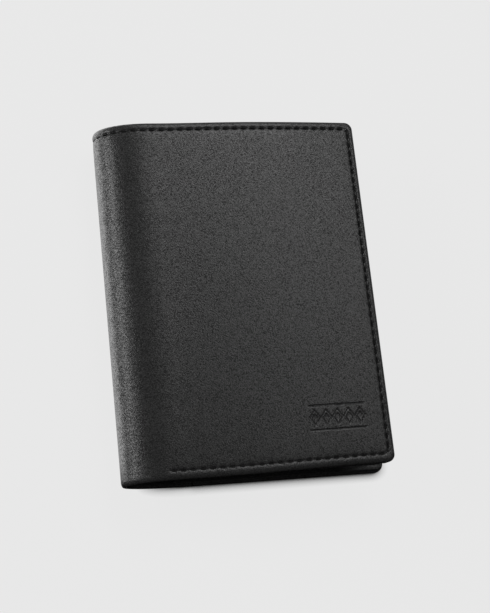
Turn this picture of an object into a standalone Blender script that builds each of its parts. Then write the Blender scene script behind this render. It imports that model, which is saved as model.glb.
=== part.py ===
"""A vertical bifold wallet, closed and lying on its rear cover.

Metres. X runs from the spine to the fore-edge, Y to the wallet's top, Z out of the front cover.
The cover leather is one hide on the real thing. Here it is three pieces, which meet at two fold
lines on its outer face, so that the front can swing over the spine and lie open beside the rear.
"""
import math

import bmesh
import bpy
from mathutils import Vector

# Outline of the closed wallet
HEIGHT = 0.125
WIDTH = 0.0953
OVERHANG = 0.0020            # the rear's fore-edge stands this far past the front's
CORNER_RADIUS = 0.0018
FRONT_SHOULDER = 0.0191      # run of the curve from the spine to the flat front
REAR_SHOULDER = 0.0260
FRONT_SHOULDER_POWER = 2.13
DOME = 0.0012                # the padded front stands this much higher in its middle
SPINE_LEVEL_share = 0.486    # height of the spine's outermost line, of the thickness
REAR_FOLD_share = 0.262      # heights of the two fold lines, of the thickness
FRONT_FOLD_share = 0.804

# Clearance between neighbouring pieces
GAP = 0.0003

# Thicknesses, in the order in which the pieces lie on each other
LEATHER = 0.0012
BOARD = 0.0005
LINING = 0.0003
REAR_NOTE_ROOM = 0.0008
PANEL = 0.0008
POCKET_BACK = 0.0004
COIN_ROOM = 0.0045
POCKET_FRONT = 0.0006
SNAP_ROOM = 0.0013
FLAP = 0.0008
CAP_HEIGHT = 0.0007
WING_LEAF = 0.0005
FILM = 0.0002
CARD_LEAF = 0.0004
FRONT_NOTE_ROOM = 0.0004
PADDING_EDGE = 0.0005

# Turned hem, its seam and the thread
HEM_WIDTH = 0.0055
TOP_HEM = 0.0022
HEM_STEP = 0.0003
EDGE_ROUND = 0.0008
TOP_SEAM_INSET = 0.0026
SIDE_SEAM_INSET = 0.0021
BOTTOM_SEAM_INSET = 0.0036
BOTTOM_SEAM_START = 0.0152   # from the spine's outermost line
GROOVE_WIDTH = 0.0010
GROOVE_DEPTH = 0.0006
GROOVE_STEP = 0.0001
THREAD_WIDTH = 0.0004
THREAD_TURN = 0.0005
RIM_shares = (0.0, 0.16, 0.45)

# Inner panels and card leaves
CARD_LEAVES = 3
PANEL_INSET = 0.0010
NOTE_LIP = 0.0070            # the note compartment's inner wall stops this far below the top
CARD_EDGE_INSET = 0.0030
CARD_STEP = 0.0150
PLATE_CORNER = 0.0020

# Coin pocket
POCKET_SPINE_INSET = 0.0008
POCKET_EDGE_INSET = 0.0090
POCKET_BOTTOM_INSET = 0.0065
POCKET_HEIGHT = 0.0900
POCKET_WALL = 0.0008
MOUTH_WIDTH = 0.0195
FLAP_REACH = 0.0360
FLAP_END_INSET = 0.0040

# Press stud
SNAP_INSET = 0.0075
CAP_RADIUS = 0.0050
CAP_ROUND = 0.0003
SOCKET_RADIUS = 0.0035
STUD_BASE_RADIUS = 0.0040
STUD_BASE = 0.0004
STUD_POST_RADIUS = 0.0015
STUD_SHANK_RADIUS = 0.0011
TURNED_STEPS = 24

# Centre wing
WING_SPINE_OFFSET = 0.0050   # from the coin pocket's wall to the wing's fold
WING_EDGE_INSET = 0.0070
WING_END_INSET = 0.0090
WINDOW_WIDTH = 0.0500
WINDOW_HEIGHT = 0.0780
FILM_MARGIN = 0.0040
STRIP = 0.0006

# How finely the curves are divided
SHOULDER_STEPS = 9
SPINE_STEPS = 8
FLAT_STEPS = 6
CORNER_STEPS = 4
SHARP_ANGLE = math.radians(35)
SLOPE_STEP = 0.00001
BISECTIONS = 40

# Levels, from the bottom up
BOARD_Z = LEATHER + GAP
REAR_LINING_Z = BOARD_Z + BOARD + GAP
REAR_PANEL_Z = REAR_LINING_Z + LINING + REAR_NOTE_ROOM
POCKET_BACK_Z = REAR_PANEL_Z + PANEL + GAP
COIN_Z = POCKET_BACK_Z + POCKET_BACK
POCKET_FRONT_Z = COIN_Z + COIN_ROOM
FLAP_Z = POCKET_FRONT_Z + POCKET_FRONT + SNAP_ROOM
CAP_Z = FLAP_Z + FLAP + GAP
WING_Z = CAP_Z + CAP_HEIGHT + GAP
FILM_Z = WING_Z + WING_LEAF + GAP
FRAME_Z = FILM_Z + FILM + GAP
CARD_Z = FRAME_Z + WING_LEAF + GAP
CARD_PITCH = CARD_LEAF + GAP
FRONT_PANEL_Z = CARD_Z + CARD_LEAVES * CARD_PITCH
FRONT_LINING_Z = FRONT_PANEL_Z + PANEL + FRONT_NOTE_ROOM
PADDING_Z = FRONT_LINING_Z + LINING + GAP
THICKNESS = PADDING_Z + PADDING_EDGE + GAP + LEATHER

# Places in the section
SPINE_X = -WIDTH / 2
REAR_EDGE_X = WIDTH / 2
FRONT_EDGE_X = REAR_EDGE_X - OVERHANG
REAR_FLAT_X = SPINE_X + REAR_SHOULDER
FRONT_FLAT_X = SPINE_X + FRONT_SHOULDER
SPINE_Z = THICKNESS * SPINE_LEVEL_share
REAR_FOLD_Z = THICKNESS * REAR_FOLD_share
FRONT_FOLD_Z = THICKNESS * FRONT_FOLD_share
TOP_Y = HEIGHT / 2
BOTTOM_Y = -HEIGHT / 2

# The hems reach down to the inner panels that are sewn on them
REAR_HEM = REAR_PANEL_Z - GAP
FRONT_HEM = THICKNESS - FRONT_PANEL_Z - PANEL - GAP
HEM_CLEAR = HEM_WIDTH + HEM_STEP + GAP

LEATHER_BLACK = ((0.018, 0.018, 0.019), 0.48, 0.0)
LEATHER_INNER = ((0.026, 0.025, 0.025), 0.55, 0.0)
LINING_GREY = ((0.045, 0.045, 0.048), 0.85, 0.0)
BOARD_GREY = ((0.24, 0.22, 0.20), 0.90, 0.0)
FOAM_GREY = ((0.10, 0.10, 0.11), 0.95, 0.0)
THREAD_BLACK = ((0.012, 0.012, 0.012), 0.60, 0.0)
CLEAR_FILM = ((0.75, 0.77, 0.78), 0.15, 0.0)
STUD_METAL = ((0.32, 0.31, 0.30), 0.30, 1.0)


def clear_scene():
    for item in list(bpy.data.objects):
        bpy.data.objects.remove(item, do_unlink=True)


def rear_height(x):
    """Height of the rear's outer face: flat, then a quarter ellipse up to the spine."""
    share = min(max((REAR_FLAT_X - x) / REAR_SHOULDER, 0), 1)
    return SPINE_Z * (1 - math.sqrt(1 - share ** 2))


def front_base(x):
    """Height of the front's outer face without its dome."""
    share = min(max((FRONT_FLAT_X - x) / FRONT_SHOULDER, 0), 1)
    rise = (1 - share ** FRONT_SHOULDER_POWER) ** (1 / FRONT_SHOULDER_POWER)
    return SPINE_Z + (THICKNESS - SPINE_Z) * rise


def front_height(x):
    """Height of the front's outer face."""
    half = (FRONT_EDGE_X - FRONT_FLAT_X) / 2
    share = (x - FRONT_FLAT_X - half) / half
    crown = max(1 - share ** 2, 0)
    if share < 0:
        crown = crown ** 2
    return front_base(x) + DOME * crown


def spine_reach(z):
    """Place of the spine's outer face at a height."""
    if z < SPINE_Z:
        share = (SPINE_Z - z) / SPINE_Z
        return REAR_FLAT_X - REAR_SHOULDER * math.sqrt(1 - share ** 2)
    share = (z - SPINE_Z) / (THICKNESS - SPINE_Z)
    reach = (1 - share ** FRONT_SHOULDER_POWER) ** (1 / FRONT_SHOULDER_POWER)
    return FRONT_FLAT_X - FRONT_SHOULDER * reach


def inward(height, x, up):
    """Unit vector from an outer face into the wallet; up is 1 on the rear and -1 on the front."""
    slope = (height(x + SLOPE_STEP) - height(x - SLOPE_STEP)) / (2 * SLOPE_STEP)
    length = math.hypot(slope, 1)
    return -up * slope / length, up / length


def spine_inward(z):
    slope = (spine_reach(z + SLOPE_STEP) - spine_reach(z - SLOPE_STEP)) / (2 * SLOPE_STEP)
    length = math.hypot(slope, 1)
    return 1 / length, -slope / length


def offset_point(height, x, up, depth):
    side, rise = inward(height, x, up)
    return x + side * depth, height(x) + rise * depth


def shoulder_place(height, up, depth, wanted, index):
    """Point on a face's parallel at a depth whose X (index 0) or Z (index 1) is the wanted one."""
    low, high = (REAR_FOLD_X, REAR_FLAT_X) if up > 0 else (FRONT_FOLD_X, FRONT_FLAT_X)
    for _ in range(BISECTIONS):
        middle = (low + high) / 2
        value = offset_point(height, middle, up, depth)[index]
        too_low = value < wanted if index == 0 or up < 0 else value > wanted
        low, high = (middle, high) if too_low else (low, middle)
    return offset_point(height, low, up, depth)


REAR_FOLD_X = spine_reach(REAR_FOLD_Z)
FRONT_FOLD_X = spine_reach(FRONT_FOLD_Z)

# The flat inner pieces end where the curved lining leaves them room
LINING_DEPTH = REAR_LINING_Z + LINING
REAR_PANEL_LEFT = shoulder_place(rear_height, 1, LINING_DEPTH, REAR_PANEL_Z - GAP, 1)[0] + GAP
FRONT_LINING_DEPTH = THICKNESS - FRONT_LINING_Z
FRONT_PANEL_TOP = FRONT_PANEL_Z + PANEL + GAP
FRONT_PANEL_LEFT = shoulder_place(front_base, -1, FRONT_LINING_DEPTH, FRONT_PANEL_TOP, 1)[0] + GAP

POCKET_LEFT = REAR_PANEL_LEFT + POCKET_SPINE_INSET
POCKET_RIGHT = REAR_EDGE_X - POCKET_EDGE_INSET
POCKET_BOTTOM = BOTTOM_Y + POCKET_BOTTOM_INSET
POCKET_TOP = POCKET_BOTTOM + POCKET_HEIGHT
POCKET_FRONT_LEFT = POCKET_LEFT + POCKET_WALL + MOUTH_WIDTH
FLAP_RIGHT = POCKET_LEFT + FLAP_REACH
SNAP_X = FLAP_RIGHT - SNAP_INSET
SNAP_Y = (POCKET_BOTTOM + POCKET_TOP) / 2
WING_LEFT = POCKET_LEFT - WING_SPINE_OFFSET
WING_RIGHT = FRONT_EDGE_X - WING_EDGE_INSET
WING_TOP = TOP_Y - WING_END_INSET
WING_BOTTOM = BOTTOM_Y + WING_END_INSET

REAR_FOLD = Vector((REAR_FOLD_X, 0, REAR_FOLD_Z))
FRONT_FOLD = Vector((FRONT_FOLD_X, 0, FRONT_FOLD_Z))
WING_FOLD = Vector((WING_LEFT, 0, WING_Z))
FLAP_FOLD = Vector((POCKET_LEFT, 0, FLAP_Z))


def add_object(name, mesh_data, paint, axis=None):
    """Puts a finished mesh in the scene with its own material, hung on its fold line if it moves."""
    mesh = bpy.data.meshes.new(name)
    bmesh.ops.recalc_face_normals(mesh_data, faces=mesh_data.faces)
    mesh_data.to_mesh(mesh)
    mesh_data.free()
    mesh.shade_smooth()
    mesh.set_sharp_from_angle(angle=SHARP_ANGLE)
    piece = bpy.data.objects.new(name, mesh)
    bpy.context.scene.collection.objects.link(piece)
    colour, roughness, metallic = paint
    material = bpy.data.materials.new(name)
    material.use_nodes = True
    shader = material.node_tree.nodes["Principled BSDF"]
    shader.inputs["Base Color"].default_value = (*colour, 1)
    shader.inputs["Roughness"].default_value = roughness
    shader.inputs["Metallic"].default_value = metallic
    material.diffuse_color = (*colour, 1)
    mesh.materials.append(material)
    if axis:
        mesh.transform(axis.matrix_world.inverted())
        piece.parent = axis
    return piece


def fold_axis(name, place, parent=None):
    """An empty on a fold line, which the pieces that turn about it hang on."""
    axis = bpy.data.objects.new(name, None)
    bpy.context.scene.collection.objects.link(axis)
    axis.location = place - parent.matrix_world.translation if parent else place
    axis.parent = parent
    bpy.context.view_layer.update()
    return axis


def grid_solid(name, columns, outer, inner, paint, axis=None):
    """A sheet between two grids of points. A column is one list of rows; outer and inner place them."""
    mesh_data = bmesh.new()
    sides = []
    for place in (outer, inner):
        sides.append([[mesh_data.verts.new(place(column, row)) for row in column[1]] for column in columns])
    last_column = len(columns) - 1
    last_row = len(columns[0][1]) - 1
    for side in sides:
        for i in range(last_column):
            for j in range(last_row):
                mesh_data.faces.new((side[i][j], side[i + 1][j], side[i + 1][j + 1], side[i][j + 1]))
    top, under = sides
    for i in range(last_column):
        for j in (0, last_row):
            mesh_data.faces.new((top[i][j], top[i + 1][j], under[i + 1][j], under[i][j]))
    for j in range(last_row):
        for i in (0, last_column):
            mesh_data.faces.new((top[i][j], top[i][j + 1], under[i][j + 1], under[i][j]))
    return add_object(name, mesh_data, paint, axis)


def prism(name, outline, low, high, paint, axis=None):
    """A flat piece: an outline in plan, from one level to another."""
    mesh_data = bmesh.new()
    base = mesh_data.faces.new([mesh_data.verts.new((x, y, low)) for x, y in outline])
    raised = bmesh.ops.extrude_face_region(mesh_data, geom=[base])["geom"]
    lifted = [item for item in raised if isinstance(item, bmesh.types.BMVert)]
    bmesh.ops.translate(mesh_data, verts=lifted, vec=(0, 0, high - low))
    return add_object(name, mesh_data, paint, axis)


def rounded_rectangle(left, right, bottom, top, radius):
    """Outline of a rectangle in plan with round corners."""
    outline = []
    corners = ((right, top, 0), (left, top, 1), (left, bottom, 2), (right, bottom, 3))
    for x, y, quarter in corners:
        centre_x = x - math.copysign(radius, x - (left + right) / 2)
        centre_y = y - math.copysign(radius, y - (bottom + top) / 2)
        for k in range(CORNER_STEPS + 1):
            angle = (quarter + k / CORNER_STEPS) * math.pi / 2
            outline.append((centre_x + radius * math.cos(angle), centre_y + radius * math.sin(angle)))
    return outline


def cut(piece, cutter):
    """Cuts one solid out of another."""
    cutter.hide_render = True
    cutter.display_type = "WIRE"
    change = piece.modifiers.new(cutter.name, "BOOLEAN")
    change.operation = "DIFFERENCE"
    change.object = cutter


def circle(centre_x, centre_y, radius):
    turns = [2 * math.pi * k / TURNED_STEPS for k in range(TURNED_STEPS)]
    return [(centre_x + radius * math.cos(turn), centre_y + radius * math.sin(turn)) for turn in turns]


def turned(name, profile, paint, axis=None):
    """A round piece of the press stud: a closed profile of radius and level, turned about its middle."""
    mesh_data = bmesh.new()
    rings = []
    for radius, level in profile:
        if radius:
            places = circle(SNAP_X, SNAP_Y, radius)
        else:
            places = [(SNAP_X, SNAP_Y)]
        rings.append([mesh_data.verts.new((x, y, level)) for x, y in places])
    open_profile = not profile[0][0]
    pairs = zip(rings, rings[1:]) if open_profile else zip(rings, rings[1:] + rings[:1])
    for first, second in pairs:
        for k in range(TURNED_STEPS):
            after = (k + 1) % TURNED_STEPS
            corners = [first[k % len(first)], first[after % len(first)]]
            corners += [second[after % len(second)], second[k % len(second)]]
            mesh_data.faces.new(list(dict.fromkeys(corners)))
    return add_object(name, mesh_data, paint, axis)


def edge_lines(inset):
    """Distances from an edge at which a cover's grid has a line: rim, groove and hem."""
    rim = inset - GROOVE_WIDTH / 2
    far = inset + GROOVE_WIDTH / 2
    lines = [rim * share for share in RIM_shares]
    return lines + [rim, rim + GROOVE_STEP, far - GROOVE_STEP, far, HEM_WIDTH, HEM_WIDTH + HEM_STEP]


def corner_drop(x, edge_x):
    """How far the round corner takes the top and bottom edges in at this place."""
    reach = max(x - edge_x + CORNER_RADIUS, 0)
    return CORNER_RADIUS - math.sqrt(max(CORNER_RADIUS ** 2 - reach ** 2, 0))


def cover_rows(drop):
    """The rows of one column of a cover, from bottom to top."""
    rows = []
    for edge, sign, inset in ((BOTTOM_Y, 1, BOTTOM_SEAM_INSET), (TOP_Y, -1, TOP_SEAM_INSET)):
        rim = inset - GROOVE_WIDTH / 2
        side = []
        for distance in edge_lines(inset):
            inside = distance + drop * max(1 - distance / rim, 0)
            side.append(edge + sign * inside)
        rows.append(side)
    return sorted(rows[0] + [0] + rows[1])


def cover_columns(fold_x, edge_x, flat_x, shoulder, seam_start, height):
    """The columns of the rear or front cover, from its fold line to its fore-edge."""
    slope = (height(fold_x + SLOPE_STEP) - height(fold_x)) / SLOPE_STEP
    start = fold_x + GAP / 2 / math.hypot(slope, 1)
    turn = math.asin((flat_x - start) / shoulder)
    places = [flat_x - shoulder * math.sin(turn * k / SHOULDER_STEPS) for k in range(SHOULDER_STEPS + 1)]
    near_edge = [edge_x - distance for distance in edge_lines(SIDE_SEAM_INSET)]
    run = min(near_edge) - flat_x
    places += [flat_x + run * k / FLAT_STEPS for k in range(1, FLAT_STEPS)]
    places += near_edge + [seam_start, seam_start + GROOVE_STEP, flat_x + HEM_STEP]
    return [(x, cover_rows(corner_drop(x, edge_x))) for x in sorted(set(places))]


def seam_reach(x, y, edge_x):
    """Signed distance outside the rectangle along which the seam runs."""
    side = x - (edge_x - SIDE_SEAM_INSET)
    return max(side, y - (TOP_Y - TOP_SEAM_INSET), (BOTTOM_Y + BOTTOM_SEAM_INSET) - y)


def in_groove(x, y, edge_x, seam_start):
    on_line = abs(seam_reach(x, y, edge_x)) <= GROOVE_WIDTH / 2 - GROOVE_STEP / 2
    before_start = y < 0 and x < seam_start + GROOVE_STEP / 2
    return on_line and not before_start


def edge_round(distance):
    """How far a hem's round edge falls away at a distance from the edge."""
    inside = max(EDGE_ROUND - distance, 0)
    return EDGE_ROUND - math.sqrt(EDGE_ROUND ** 2 - inside ** 2)


def hem_depth(x, y, edge_x, flat_x, hem):
    """Thickness of a cover at a place: the plain leather, or the turned hem."""
    slack = HEM_STEP / 2
    if y > TOP_Y - HEM_WIDTH - slack:
        return TOP_HEM
    if y < BOTTOM_Y + HEM_WIDTH + slack:
        return hem if x > flat_x + slack else TOP_HEM
    if x > edge_x - HEM_WIDTH - slack:
        return hem
    return LEATHER


def cover(name, height, up, fold_x, edge_x, flat_x, shoulder, hem, seam_start, paint, axis=None):
    """The rear or the front cover, with its hems and its stitching groove."""
    columns = cover_columns(fold_x, edge_x, flat_x, shoulder, seam_start, height)

    def drop(column, y):
        x, rows = column
        return edge_round(min(edge_x - x, rows[-1] - y, y - rows[0]))

    def outer(column, y):
        depth = drop(column, y)
        if in_groove(column[0], y, edge_x, seam_start):
            depth += GROOVE_DEPTH
        x, z = offset_point(height, column[0], up, depth)
        return x, y, z

    def inner(column, y):
        depth = hem_depth(column[0], y, edge_x, flat_x, hem) - drop(column, y)
        x, z = offset_point(height, column[0], up, depth)
        return x, y, z

    return grid_solid(name, columns, outer, inner, paint, axis)


def spine_levels():
    """Heights of the spine's columns, between the two fold lines."""
    low_side = spine_inward(REAR_FOLD_Z)[0]
    high_side = spine_inward(FRONT_FOLD_Z)[0]
    low = REAR_FOLD_Z + GAP / 2 * low_side
    high = FRONT_FOLD_Z - GAP / 2 * high_side
    levels = [low + (high - low) * k / SPINE_STEPS for k in range(SPINE_STEPS + 1)]
    return sorted(set(levels + [SPINE_Z]))


def spine_point(z, depth):
    side, rise = spine_inward(z)
    return spine_reach(z) + side * depth, z + rise * depth


def spine_sheet(name, rows, outer_depth, inner_depth, paint, axis):
    """A piece of the spine, between two depths that may change with Y."""
    columns = [(z, rows) for z in spine_levels()]

    def outer(column, y):
        x, z = spine_point(column[0], outer_depth(y))
        return x, y, z

    def inner(column, y):
        x, z = spine_point(column[0], inner_depth(y))
        return x, y, z

    return grid_solid(name, columns, outer, inner, paint, axis)


def spine_outer_depth(y):
    depth = edge_round(min(TOP_Y - y, y - BOTTOM_Y))
    if y > 0 and abs(y - TOP_Y + TOP_SEAM_INSET) <= GROOVE_WIDTH / 2 - GROOVE_STEP / 2:
        depth += GROOVE_DEPTH
    return depth


def spine_inner_depth(y):
    in_hem = abs(y) > TOP_Y - HEM_WIDTH - HEM_STEP / 2
    return (TOP_HEM if in_hem else LEATHER) - edge_round(min(TOP_Y - y, y - BOTTOM_Y))


def lining(name, height, up, fold_x, flat_x, shoulder, right, level_depth, paint, axis=None):
    """The cloth of the note compartment, parallel to a cover's outer face."""
    start = fold_x + GAP
    turn = math.asin((flat_x - start) / shoulder)
    places = [flat_x - shoulder * math.sin(turn * k / SHOULDER_STEPS) for k in range(SHOULDER_STEPS + 1)]
    rows = [BOTTOM_Y + HEM_CLEAR, TOP_Y - HEM_CLEAR]
    columns = [(x, rows) for x in sorted(places + [right])]

    def outer(column, y):
        x, z = offset_point(height, column[0], up, level_depth)
        return x, y, z

    def inner(column, y):
        x, z = offset_point(height, column[0], up, level_depth + LINING)
        return x, y, z

    return grid_solid(name, columns, outer, inner, paint, axis)


def thread_bar(name, path, paint, axis=None):
    """Thread in its groove: a flat bar along a path of points and the directions into the leather."""
    mesh_data = bmesh.new()
    sections = []
    last = len(path) - 1
    for k, (place, into) in enumerate(path):
        before = path[max(k - 1, 0)][0]
        after = path[min(k + 1, last)][0]
        side = (after - before).normalized().cross(into) * (THREAD_WIDTH / 2)
        depth = into * (GROOVE_DEPTH - GAP)
        corners = (place - side, place + side, place + side + depth, place - side + depth)
        sections.append([mesh_data.verts.new(corner) for corner in corners])
    mesh_data.faces.new(sections[0])
    mesh_data.faces.new(sections[-1])
    for first, second in zip(sections, sections[1:]):
        for k in range(4):
            after = (k + 1) % 4
            mesh_data.faces.new((first[k], first[after], second[after], second[k]))
    return add_object(name, mesh_data, paint, axis)


def cover_seam(height, up, fold_x, edge_x, flat_x, shoulder, seam_start):
    """Path of a cover's seam: along the top, down the fore-edge and back along the bottom."""
    side_x = edge_x - SIDE_SEAM_INSET
    top_y = TOP_Y - TOP_SEAM_INSET
    bottom_y = BOTTOM_Y + BOTTOM_SEAM_INSET
    columns = cover_columns(fold_x, edge_x, flat_x, shoulder, seam_start, height)
    places = [column[0] for column in columns if column[0] < side_x - THREAD_TURN]
    plan = [(x, top_y) for x in places]
    for centre_y, first in ((top_y - THREAD_TURN, 90), (bottom_y + THREAD_TURN, 0)):
        for k in range(CORNER_STEPS + 1):
            angle = math.radians(first - 90 * k / CORNER_STEPS)
            x = side_x - THREAD_TURN + THREAD_TURN * math.cos(angle)
            plan.append((x, centre_y + THREAD_TURN * math.sin(angle)))
    plan += [(x, bottom_y) for x in reversed(places) if x > seam_start + GAP]
    path = []
    for x, y in plan:
        side, rise = inward(height, x, up)
        path.append((Vector((x, y, height(x))), Vector((side, 0, rise))))
    return path


def spine_seam():
    path = []
    for z in spine_levels():
        side, rise = spine_inward(z)
        place = Vector((spine_reach(z), TOP_Y - TOP_SEAM_INSET, z))
        path.append((place, Vector((side, 0, rise))))
    return path


def build_rear():
    seam_start = SPINE_X + BOTTOM_SEAM_START
    shape = (rear_height, 1, REAR_FOLD_X, REAR_EDGE_X, REAR_FLAT_X, REAR_SHOULDER)
    cover("rear_cover", *shape, REAR_HEM, seam_start, LEATHER_BLACK)
    thread_bar("rear_seam_thread", cover_seam(*shape, seam_start), THREAD_BLACK)
    right = REAR_EDGE_X - HEM_CLEAR
    ends = BOTTOM_Y + HEM_CLEAR, TOP_Y - HEM_CLEAR
    board = rounded_rectangle(REAR_FLAT_X, right, *ends, PLATE_CORNER)
    prism("rear_board", board, BOARD_Z, BOARD_Z + BOARD, BOARD_GREY)
    lining("rear_lining", rear_height, 1, REAR_FOLD_X, REAR_FLAT_X, REAR_SHOULDER, right,
           REAR_LINING_Z, LINING_GREY)
    panel = rounded_rectangle(REAR_PANEL_LEFT, REAR_EDGE_X - PANEL_INSET, BOTTOM_Y + PANEL_INSET,
                              TOP_Y - NOTE_LIP, PLATE_CORNER)
    prism("rear_inner_panel", panel, REAR_PANEL_Z, REAR_PANEL_Z + PANEL, LEATHER_INNER)


def build_coin_pocket():
    back = rounded_rectangle(POCKET_LEFT, POCKET_RIGHT, POCKET_BOTTOM, POCKET_TOP, PLATE_CORNER)
    prism("coin_pocket_back", back, POCKET_BACK_Z, COIN_Z, LINING_GREY)
    root_right = POCKET_LEFT + POCKET_WALL
    root = [(POCKET_LEFT, POCKET_BOTTOM + PLATE_CORNER), (root_right, POCKET_BOTTOM + PLATE_CORNER),
            (root_right, POCKET_TOP - PLATE_CORNER), (POCKET_LEFT, POCKET_TOP - PLATE_CORNER)]
    prism("coin_flap_root", root, COIN_Z + GAP, FLAP_Z - GAP, LEATHER_INNER)
    left = root_right + GAP
    inner_right = POCKET_RIGHT - POCKET_WALL
    inner_bottom = POCKET_BOTTOM + POCKET_WALL
    inner_top = POCKET_TOP - POCKET_WALL
    gusset = [(left, POCKET_BOTTOM), (POCKET_RIGHT, POCKET_BOTTOM), (POCKET_RIGHT, POCKET_TOP),
              (left, POCKET_TOP), (left, inner_top), (inner_right, inner_top),
              (inner_right, inner_bottom), (left, inner_bottom)]
    prism("coin_pocket_gusset", gusset, COIN_Z + GAP, POCKET_FRONT_Z - GAP, LEATHER_INNER)
    front = rounded_rectangle(POCKET_FRONT_LEFT, POCKET_RIGHT, POCKET_BOTTOM, POCKET_TOP, PLATE_CORNER)
    pocket_front = prism("coin_pocket_front", front, POCKET_FRONT_Z, POCKET_FRONT_Z + POCKET_FRONT,
                         LEATHER_INNER)
    hole = circle(SNAP_X, SNAP_Y, STUD_SHANK_RADIUS + GAP)
    cut(pocket_front, prism("stud_hole", hole, POCKET_FRONT_Z - GAP, POCKET_FRONT_Z + POCKET_FRONT + GAP,
                            LEATHER_INNER))
    base_low = POCKET_FRONT_Z + POCKET_FRONT + GAP
    base_high = base_low + STUD_BASE
    post_top = FLAP_Z + FLAP - GAP
    turned("snap_stud", [(0, POCKET_FRONT_Z), (STUD_SHANK_RADIUS, POCKET_FRONT_Z),
                         (STUD_SHANK_RADIUS, base_low), (STUD_BASE_RADIUS, base_low),
                         (STUD_BASE_RADIUS, base_high), (STUD_POST_RADIUS, base_high),
                         (STUD_POST_RADIUS, post_top), (0, post_top)], STUD_METAL)


def build_flap():
    axis = fold_axis("coin_flap_axis", FLAP_FOLD)
    outline = rounded_rectangle(POCKET_LEFT, FLAP_RIGHT, POCKET_BOTTOM + FLAP_END_INSET,
                                POCKET_TOP - FLAP_END_INSET, PLATE_CORNER)
    flap = prism("coin_flap", outline, FLAP_Z, FLAP_Z + FLAP, LEATHER_INNER, axis)
    hole = circle(SNAP_X, SNAP_Y, SOCKET_RADIUS + GAP)
    cut(flap, prism("socket_hole", hole, FLAP_Z - GAP, FLAP_Z + FLAP + GAP, LEATHER_INNER))
    bore = STUD_POST_RADIUS + GAP
    low = FLAP_Z - GAP
    high = FLAP_Z + FLAP
    turned("snap_socket", [(bore, low), (SOCKET_RADIUS, low), (SOCKET_RADIUS, high), (bore, high)],
           STUD_METAL, axis)
    turned("snap_cap", [(0, CAP_Z), (CAP_RADIUS, CAP_Z), (CAP_RADIUS, CAP_Z + CAP_HEIGHT - CAP_ROUND),
                        (CAP_RADIUS - CAP_ROUND, CAP_Z + CAP_HEIGHT), (0, CAP_Z + CAP_HEIGHT)],
           STUD_METAL, axis)


def build_wing():
    strip_left = WING_LEFT + GAP
    strip_right = strip_left + STRIP
    foot = shoulder_place(rear_height, 1, LINING_DEPTH, strip_left, 0)[1] + GAP
    strip = [(strip_left, WING_BOTTOM), (strip_right, WING_BOTTOM),
             (strip_right, WING_TOP), (strip_left, WING_TOP)]
    prism("wing_hinge_strip", strip, foot, WING_Z - GAP, LINING_GREY)
    axis = fold_axis("wing_axis", WING_FOLD)
    outline = rounded_rectangle(WING_LEFT, WING_RIGHT, WING_BOTTOM, WING_TOP, PLATE_CORNER)
    prism("wing_back", outline, WING_Z, WING_Z + WING_LEAF, LEATHER_INNER, axis)
    middle = (WING_LEFT + WING_RIGHT) / 2
    frame = prism("wing_frame", outline, FRAME_Z, FRAME_Z + WING_LEAF, LEATHER_INNER, axis)
    window = (middle - WINDOW_WIDTH / 2, middle + WINDOW_WIDTH / 2, -WINDOW_HEIGHT / 2, WINDOW_HEIGHT / 2)
    opening = rounded_rectangle(*window, PLATE_CORNER)
    cut(frame, prism("window_opening", opening, FRAME_Z - GAP, FRAME_Z + WING_LEAF + GAP, LEATHER_INNER))
    film = rounded_rectangle(window[0] - FILM_MARGIN, window[1] + FILM_MARGIN,
                             window[2] - FILM_MARGIN, window[3] + FILM_MARGIN, PLATE_CORNER)
    prism("wing_window", film, FILM_Z, FILM_Z + FILM, CLEAR_FILM, axis)


def build_spine():
    axis = fold_axis("spine_axis", REAR_FOLD)
    rows = cover_rows(0)
    spine_sheet("spine_cover", rows, spine_outer_depth, spine_inner_depth, LEATHER_BLACK, axis)
    ends = [BOTTOM_Y + HEM_CLEAR, TOP_Y - HEM_CLEAR]
    spine_sheet("spine_lining", ends, lambda y: LEATHER + GAP, lambda y: LEATHER + GAP + LINING,
                LINING_GREY, axis)
    thread_bar("spine_seam_thread", spine_seam(), THREAD_BLACK, axis)
    return axis


def build_front(spine_axis):
    axis = fold_axis("cover_axis", FRONT_FOLD, spine_axis)
    seam_start = SPINE_X + BOTTOM_SEAM_START
    shape = (front_height, -1, FRONT_FOLD_X, FRONT_EDGE_X, FRONT_FLAT_X, FRONT_SHOULDER)
    cover("front_cover", *shape, FRONT_HEM, seam_start, LEATHER_BLACK, axis)
    thread_bar("front_seam_thread", cover_seam(*shape, seam_start), THREAD_BLACK, axis)
    right = FRONT_EDGE_X - HEM_CLEAR
    lining("front_lining", front_base, -1, FRONT_FOLD_X, FRONT_FLAT_X, FRONT_SHOULDER, right,
           FRONT_LINING_DEPTH - LINING, LINING_GREY, axis)
    build_padding(right, axis)
    bottom = BOTTOM_Y + PANEL_INSET
    panel = rounded_rectangle(FRONT_PANEL_LEFT, FRONT_EDGE_X - PANEL_INSET, bottom, TOP_Y - NOTE_LIP,
                              PLATE_CORNER)
    prism("front_inner_panel", panel, FRONT_PANEL_Z, FRONT_PANEL_Z + PANEL, LEATHER_INNER, axis)
    for k in range(CARD_LEAVES):
        low = CARD_Z + k * CARD_PITCH
        top = TOP_Y - NOTE_LIP - (CARD_LEAVES - k) * CARD_STEP
        leaf = rounded_rectangle(FRONT_PANEL_LEFT, FRONT_EDGE_X - CARD_EDGE_INSET, bottom, top,
                                 PLATE_CORNER)
        prism("card_leaf_" + str(k + 1), leaf, low, low + CARD_LEAF, LEATHER_INNER, axis)


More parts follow.
